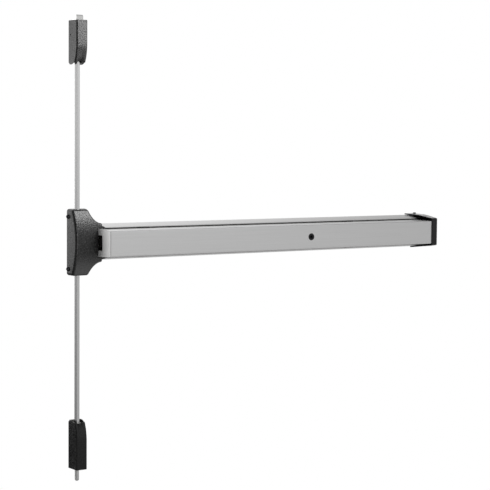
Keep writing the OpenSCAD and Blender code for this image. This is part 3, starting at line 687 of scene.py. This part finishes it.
def end_cap():
    x0, x1, _, depth, _, _ = box_mm("end_cap")
    left_at_door = x0 + 0.6
    section = cap_section(0)

    def left(p):
        return left_at_door + CAP_LEAN * max(0.0, (p - 30) / (depth - 30)) ** 1.7

    outer, inner = [], []
    for rows, wall, soft in ((outer, 0.0, CAP_SOFT), (inner, CAP_WALL, 0.6)):
        levels = [(RIM if rows is outer else -RIM, None, 0.0), (0.0, None, RIM)]
        levels += [(0.0, t, 0.0) for t in arc(0.1, 1, 8)]
        bend = arc(0, math.pi / 2, 5)[1:]
        levels += [(soft * (1 - math.cos(a)), 1.0, soft * math.sin(a)) for a in bend]
        right = x1 - wall - soft
        for more, share, extra in levels:
            ring = cap_section(wall + more)
            row = []
            for (p, z), (p_out, _) in zip(ring, section):
                x_left = left(p_out) + (extra if share is None else 0.0)
                x = x_left if share is None else x_left + (right - x_left) * share + extra
                row.append(place("x", max(p, 0.0) if p_out > 0 else 0.0, z, x))
            rows.append(row)
    screw_x = sum(box_mm("end_cap_screw")[:2]) / 2
    obj = mesh_object("end_cap_shell", shell_of(outer, inner))
    heel = rounded([(-1, -40, 0), (CAP_HEEL, -40, 0), (CAP_HEEL, -30, 0), (-1, -30, 0)])
    under = bar_of(heel, "x", x0 - 3, x1 - CAP_WALL - 0.3, 0.3)
    carve(obj, drill("z", screw_x, ROD_P, CAP_SCREW_HOLE_R, 30, 45), under)
    finish_piece(obj, "end_cap")


# ------------------------------------------------------------------ turned and extruded pieces
DOME_RIM = [(0, 0), (HEAD_R - 0.2, 0), (HEAD_R, 0.2), (HEAD_R, 0.6)]
DOME = DOME_RIM + [(3.95, 1.5), (3.3, 2.6), (2.4, 3.4), (1.9, 3.65), (1.75, 3.55)]


def socket_head(axis, at, way, size, reach, squash=1.0):
    """A domed head with a hexagon socket, and its shank."""
    height = DOME[-1][1] * size * squash
    head = lathe([(r * size, h * size * squash) for r, h in DOME] + [(0, height)], axis, at, way)
    u, v, w = at
    tip = [(0, -reach), (1.7, -reach), (2.0, -reach + 0.4)]
    shank = lathe(tip + [(2.0, 0.3), (0, 0.3)], axis, at, way, 32)
    obj = mesh_object("head", head)
    corners = arc(0, 2 * math.pi, 6)[:-1]
    socket_r, socket_depth = 1.5 * size, 1.9 * size * squash
    socket = [Vector((u + socket_r * math.cos(a), v + socket_r * math.sin(a))) for a in corners]
    ends = sorted((w + way * (height - socket_depth), w + way * (height + 2)))
    carve(obj, bar_of(socket, axis, *ends, soft=0.02))
    mesh = obj.data
    points = [v.co.copy() for v in mesh.vertices]
    faces = [tuple(p.vertices) for p in mesh.polygons]
    bpy.data.objects.remove(obj)
    return [(points, faces), shank]


def screws():
    x0 = box_mm("chassis_cover")[0]
    _, _, _, p1, _, z1 = box_mm("cover_screws")
    parts = []
    for z in (z1 - HEAD_R, HEAD_R - z1):
        parts += socket_head("x", (p1 - HEAD_R, z, x0), -1, 1.0, 6.5)
    finish_piece(mesh_object("case_screws", *parts), "cover_screws")
    cap = box_mm("end_cap_screw")
    head = socket_head("z", ((cap[0] + cap[1]) / 2, ROD_P, cap[5] - 2.5), 1, 0.92, 8.5, 0.65)
    finish_piece(mesh_object("cap_screw", *head), "end_cap_screw")


def hex_outline(size):
    """A hexagon across flats, its flats towards the door, with worn corners."""
    r = size / 2 / math.cos(math.pi / 6)
    corners = arc(0, 2 * math.pi, 6)[:-1]
    return rounded([(r * math.cos(a), ROD_P + r * math.sin(a), 0.5) for a in corners], 3)


def rods():
    for node in ("top_rod", "bottom_rod"):
        _, _, p0, p1, z0, z1 = box_mm(node)
        finish_piece(mesh_object(node + "_bar", bar_of(hex_outline(p1 - p0), "z", z0, z1, 0.4)), node, 25)


WEDGE_HEIGHT, WEDGE_RUN, WEDGE_DROP, BOLT_R = 29, 11, 9.2, 4


def wedge_bolt():
    """The upper bolt: a block with a slope in front, on a round stem."""
    x0, x1, p0, p1, z0, z1 = box_mm("top_bolt")
    block = z1 - WEDGE_HEIGHT
    front = [(p0, block, 0.8), (p0, z1 - WEDGE_DROP, 1.4), (p0 + WEDGE_RUN, z1, 1.6)]
    rear = [(p1 - 2, z1, 1.6), (p1, z1 - 2.4, 1.2), (p1, block, 0.8)]
    head = bar_of(rounded(front + rear), "x", x0, x1, 0.7)
    height = block - z0 + 2
    profile = [(0, 0), (BOLT_R - 0.4, 0), (BOLT_R, 0.4), (BOLT_R, height), (0, height)]
    stem = lathe(profile, "z", (0, ROD_P, z0))
    finish_piece(mesh_object("upper_wedge_bolt", head, stem), "top_bolt")


def round_bolt():
    """The lower bolt: a pin with a domed tip below and a collar for its spring."""
    _, x1, _, _, z0, z1 = box_mm("bottom_bolt")
    tip = [(BOLT_R * math.sin(a), 3.4 * (1 - math.cos(a))) for a in arc(0, math.pi / 2, 8)]
    low = COLLAR_Z - z0
    high = low + 3
    collar = [(BOLT_R, low), (x1 - 0.4, low), (x1, low + 0.4)]
    collar += [(x1, high - 0.4), (x1 - 0.4, high), (BOLT_R, high)]
    top = z1 - z0
    profile = tip + collar + [(BOLT_R, top - 0.4), (BOLT_R - 0.4, top), (0, top)]
    finish_piece(mesh_object("lower_round_bolt", lathe(profile, "z", (0, ROD_P, z0))), "bottom_bolt")


def bushings():
    """The flanged plastic rings round the rods, the lower bolt and the dogging key."""
    _, r, _, _, _, top = box_mm("rod_bushings")
    flange = [(r - 0.2, 0), (r, 0.2), (r, 1.1), (r - 0.4, 1.3)]
    lip = [(7, 1.3), (7, 2.7), (6.8, 2.9), (5.95, 2.9), (5.65, 2.6)]
    sleeve = [(5.75, 0)] + flange + lip
    rings = [lathe(sleeve, "z", (0, ROD_P, way * (top - 2.9)), way, hollow=True) for way in (1, -1)]
    finish_piece(mesh_object("rod_guide_rings", *rings), "rod_bushings")
    dog = box_mm("dogging_bushing")
    reach = dog[3] - dog[2]
    rim = (dog[1] - dog[0]) / 2
    lip = [(5.5, reach - 0.6), (rim - 0.1, reach - 0.6), (rim, reach - 0.45), (rim - 0.1, reach - 0.2)]
    lip += [(rim - 0.45, reach), (5.3, reach), (4.9, reach - 0.1), (4.1, reach - 0.8)]
    barrel = [(4.1, 0), (5.3, 0), (5.5, 0.2)]
    ring = lathe(barrel + lip, "y", ((dog[0] + dog[1]) / 2, 0, dog[2]), 1, hollow=True)
    finish_piece(mesh_object("dogging_plug", ring), "dogging_bushing")


def plug(name, node, way, notch_p, notch_z):
    """An end plug: a softened flange with a notch at its rear, and the body that fills the bar's end."""
    x0, x1, rear = box_mm(node)[:3]
    face, inside = (x0, x1) if way > 0 else (x1, x0)
    notch = [(rear, -notch_z, 0.4), (notch_p, -notch_z, 0.9)]
    notch += [(notch_p, notch_z, 0.9), (rear, notch_z, 0.4)]
    flange = rounded(bar_path(0, rear, 0.5) + notch)
    body = rounded(bar_path(BAR_WALL + 0.05, rear + 0.4, 0.5) + notch)
    seat = face + way * PLUG_FLANGE
    cap = bar_of(flange, "x", *sorted((face, seat)), soft=0.35)
    core = bar_of(body, "x", *sorted((seat, inside)), soft=0.3)
    finish_piece(mesh_object(name, cap, core), node)


def guide_shoes(name, node):
    """Thin moulded strips between the rail's lips and the bar, with rounded ends."""
    x0, x1, p0, p1, _, z1 = box_mm(node)
    parts = []
    for way in (1, -1):
        towards_bar = [(p0, way * (z1 - 1.05), 0.3), (p1, way * (z1 - 1.6), 0.3)]
        towards_lip = [(p1, way * z1, 0.4), (p0, way * z1, 0.4)]
        parts.append(bar_of(rounded(towards_bar + towards_lip), "x", x0, x1, 0.25))
    finish_piece(mesh_object(name, *parts), node)


# ------------------------------------------------------------------ every piece in turn
SIDE_HOLE_P, SIDE_HOLE_Z, SIDE_HOLE_R, BOLT_HOLE_R = 6.9, 390, 1.7, 4.8
WEDGE_HOLE_X, WEDGE_HOLE_P0, WEDGE_HOLE_P1 = 7.5, 4.7, 22.3

case_cover()
touch_bar()
rail()
plug("left_plug", "left_end_plug", 1, 49, 14.5)
plug("right_plug", "right_end_plug", -1, 46, 18)
guide_shoes("front_shoes", "front_guide_shoes")
guide_shoes("rear_shoes", "rear_guide_shoes")
bushings()
rods()
wedge_bolt()
round_bolt()
screws()
end_cap()
TOP_Z, LOW_Z = box_mm("top_latch_cover")[5], box_mm("bottom_latch_cover")[4]
wedge_outline = [(x, WEDGE_HOLE_P0, 1) for x in (-WEDGE_HOLE_X, WEDGE_HOLE_X)]
wedge_outline += [(x, WEDGE_HOLE_P1, 1) for x in (WEDGE_HOLE_X, -WEDGE_HOLE_X)]
wedge_hole = bar_of(rounded(wedge_outline), "z", TOP_Z - 4, TOP_Z + 2, 0.01)
side_hole = drill("x", SIDE_HOLE_P, SIDE_HOLE_Z, SIDE_HOLE_R, -14, -9)
bolt_hole = drill("z", 0, ROD_P, BOLT_HOLE_R, LOW_Z - 2, LOW_Z + 4)
latch_cover("upper_latch_case", "top_latch_cover", 1, wedge_hole, side_hole)
latch_cover("lower_latch_case", "bottom_latch_cover", -1, bolt_hole)

for node_name, node_obj in NODES.items():
    node_obj.data.materials.clear()
    node_obj.data.materials.append(MATS[SLOT[node_name]])

# ------------------------------------------------------------------ camera
# Where the camera stands in the row frame, how it is turned from looking along +Y, and its lens.
CAMERA_AT = Vector((-1.43449, -2.58355, 0.19792))
YAW, PITCH, ROLL = math.radians(-35.335), math.radians(3.899), math.radians(0.47)
LENS_MM, SENSOR_MM = 114.197, 36.0


def make_camera():
    """Left of the device and a little above it, looking along the bar."""
    level = Matrix.Rotation(math.pi / 2 - PITCH, 4, "X")
    turned = Matrix.Rotation(YAW, 4, "Z") @ level @ Matrix.Rotation(ROLL, 4, "Z")
    cam = bpy.data.objects.new("camera", bpy.data.cameras.new("camera"))
    bpy.context.scene.collection.objects.link(cam)
    cam.data.sensor_width, cam.data.lens = SENSOR_MM, LENS_MM
    cam.data.clip_start, cam.data.clip_end = 0.05, 60
    cam.matrix_world = Matrix.Translation(CAMERA_AT) @ turned
    bpy.context.scene.camera = cam


make_camera()


# ------------------------------------------------------------------ lights and floor
BACK_GLOW, LEFT_GLOW, RIGHT_GLOW = 1.85, 0.52, 0.90
FLOOR_GAP, FLOOR_HALF, DARK_SPOT = 0.006, 9.0, (-0.3, 0.45, 0.0)


def make_world():
    """White to the camera. Reflections see a soft studio: a bright wall behind on the left, a paler room
    around it that falls off towards the floor and overhead, and a shaded corner in front on the left."""
    world = bpy.data.worlds.new("studio")
    bpy.context.scene.world = world
    world.use_nodes = True
    w = Tree(world.node_tree)
    w.tree.nodes.clear()
    way = w.node("ShaderNodeSeparateXYZ")
    w.link(w.node("ShaderNodeTexCoord").outputs["Generated"], way.inputs[0])
    x, y, z = (way.outputs[k] for k in "XYZ")
    # The wall behind: from the left, fading to the right, and brightest just under eye level.
    behind = w.remap(y, -0.2, 0.9, 0.0, BACK_GLOW, "SMOOTHSTEP")
    behind = w.math("MULTIPLY", behind, w.remap(x, -0.5, 0.5, 1.0, 0.03))
    behind = w.math("MULTIPLY", behind, w.remap(z, -0.2, -0.11, 0.25, 1.0))
    behind = w.math("MULTIPLY", behind, w.remap(z, -0.03, 0.08, 1.5, 0.4))
    # The room: brighter to the right up to the far right end, dimmer low down and overhead.
    around = w.remap(x, -0.6, 0.5, LEFT_GLOW, RIGHT_GLOW)
    around = w.math("MULTIPLY", around, w.remap(x, 0.5, 0.7, 1.0, 0.3))
    around = w.math("MULTIPLY", around, w.remap(z, -0.25, 0.06, 0.35, 1.0))
    around = w.math("MULTIPLY", around, w.remap(z, 0.4, 0.85, 1.0, 0.55))
    # The shaded corner in front on the left.
    shade = w.math("MULTIPLY", w.remap(y, -0.1, -0.4, 0.0, 0.85), w.remap(x, 0.2, -0.1, 0.0, 1.0))
    around = w.math("MULTIPLY", around, w.math("SUBTRACT", 1.0, shade))
    glow = w.node("ShaderNodeBackground")
    w.link(w.math("ADD", behind, around), glow.inputs["Strength"])
    glow.inputs["Color"].default_value = (1, 1, 1, 1)
    seen = w.node("ShaderNodeBackground")
    seen.inputs["Color"].default_value = (1, 1, 1, 1)
    mix = w.node("ShaderNodeMixShader")
    w.link(w.node("ShaderNodeLightPath").outputs["Is Camera Ray"], mix.inputs[0])
    w.link(glow.outputs[0], mix.inputs[1])
    w.link(seen.outputs[0], mix.inputs[2])
    w.link(mix.outputs[0], w.node("ShaderNodeOutputWorld").inputs["Surface"])


def softbox(name, at, target, wide, high, power, pieces):
    """A soft rectangular light for some of the pieces, which the camera itself does not see."""
    light = bpy.data.lights.new(name, "AREA")
    light.shape, light.size, light.size_y, light.energy = "RECTANGLE", wide, high, power
    obj = bpy.data.objects.new(name, light)
    bpy.context.scene.collection.objects.link(obj)
    obj.location = at
    obj.rotation_euler = (Vector(target) - Vector(at)).to_track_quat("-Z", "Y").to_euler()
    obj.visible_camera = False
    lit = bpy.data.collections.new(name + "_lit")
    for piece in pieces:
        lit.objects.link(piece)
    obj.light_linking.receiver_collection = lit


def make_floor():
    """Blends into the white background for the camera, is dim in reflections and clear from below."""
    mesh = bpy.data.meshes.new("floor")
    z, r = CAD_BOX[0].z - FLOOR_GAP, FLOOR_HALF
    mesh.from_pydata([(-r, -r, z), (r, -r, z), (r, r, z), (-r, r, z)], [], [(0, 1, 2, 3)])
    floor = bpy.data.objects.new("floor", mesh)
    bpy.context.scene.collection.objects.link(floor)
    m = Mat("pale_floor")
    away = m.node("ShaderNodeVectorMath", operation="DISTANCE")
    m.link(m.coord, away.inputs[0])
    away.inputs[1].default_value = DARK_SPOT
    flat = m.node("ShaderNodeSeparateXYZ")
    m.link(m.coord, flat.inputs[0])
    # Dark round DARK_SPOT, where the lower latch's side reflects it, and brighter far behind.
    dim = m.remap(away.outputs["Value"], 0.55, 0.8, 0.03, 0.45)
    dim = m.math("MULTIPLY", dim, m.remap(flat.outputs["X"], -0.8, 0.4, 0.55, 1.0))
    dim = m.math("MULTIPLY", dim, m.remap(flat.outputs["Y"], 1.0, 4.0, 1.0, 3.0))
    low = m.node("ShaderNodeEmission")
    m.link(dim, low.inputs["Strength"])
    glow = m.node("ShaderNodeEmission", Strength=1.0)
    mix = m.node("ShaderNodeMixShader")
    m.link(m.node("ShaderNodeLightPath").outputs["Is Camera Ray"], mix.inputs[0])
    m.link(low.outputs[0], mix.inputs[1])
    m.link(glow.outputs[0], mix.inputs[2])
    one_way = m.node("ShaderNodeMixShader")
    m.link(m.node("ShaderNodeNewGeometry").outputs["Backfacing"], one_way.inputs[0])
    m.link(mix.outputs[0], one_way.inputs[1])
    m.link(m.node("ShaderNodeBsdfTransparent").outputs[0], one_way.inputs[2])
    m.link(one_way.outputs[0], m.tree.nodes["Material Output"].inputs["Surface"])
    mesh.materials.append(m.mat)


# Each softbox: name, place, aim, width, height and watts, and the pieces that it lights.
CASE_PIECES = [bpy.data.objects[name] for name in ("case_cover", "case_screws")]
LATCH_PIECES = [bpy.data.objects["upper_latch_case"]]
PLUG_PIECES = [bpy.data.objects["left_plug"]]
CAP_PIECES = [bpy.data.objects["end_cap_shell"]]
make_world()
make_floor()
softbox("case_key", (0.49, -0.72, 0.87), (0.0, 0.0, 0.08), 0.5, 0.65, 13.5, CASE_PIECES)
softbox("case_fill", (0.33, -0.38, -0.44), (0.33, -0.38, 0.0), 0.5, 0.5, 1.0, CASE_PIECES)
softbox("case_edge", (-0.1, -1.0, 0.1), (0.0, 0.0, 0.02), 0.04, 0.8, 3.2, CASE_PIECES)
softbox("plug_fill", (-0.5, 0.2, 0.05), (0.034, -0.06, 0.0), 0.3, 0.3, 1.6, PLUG_PIECES)
softbox("cap_back", (1.4, 0.5, 0.28), (0.85, -0.05, 0.03), 0.5, 0.4, 0.7, CAP_PIECES)
softbox("latch_fill", (0.6, -0.75, -0.1), (0.0, 0.0, 0.17), 0.4, 0.4, 1.6, LATCH_PIECES)
softbox("latch_key", (0.49, -0.72, 0.67), (0.0, 0.0, 0.2), 0.5, 0.65, 11.0, LATCH_PIECES)
bpy.context.scene.view_settings.view_transform = "Standard"
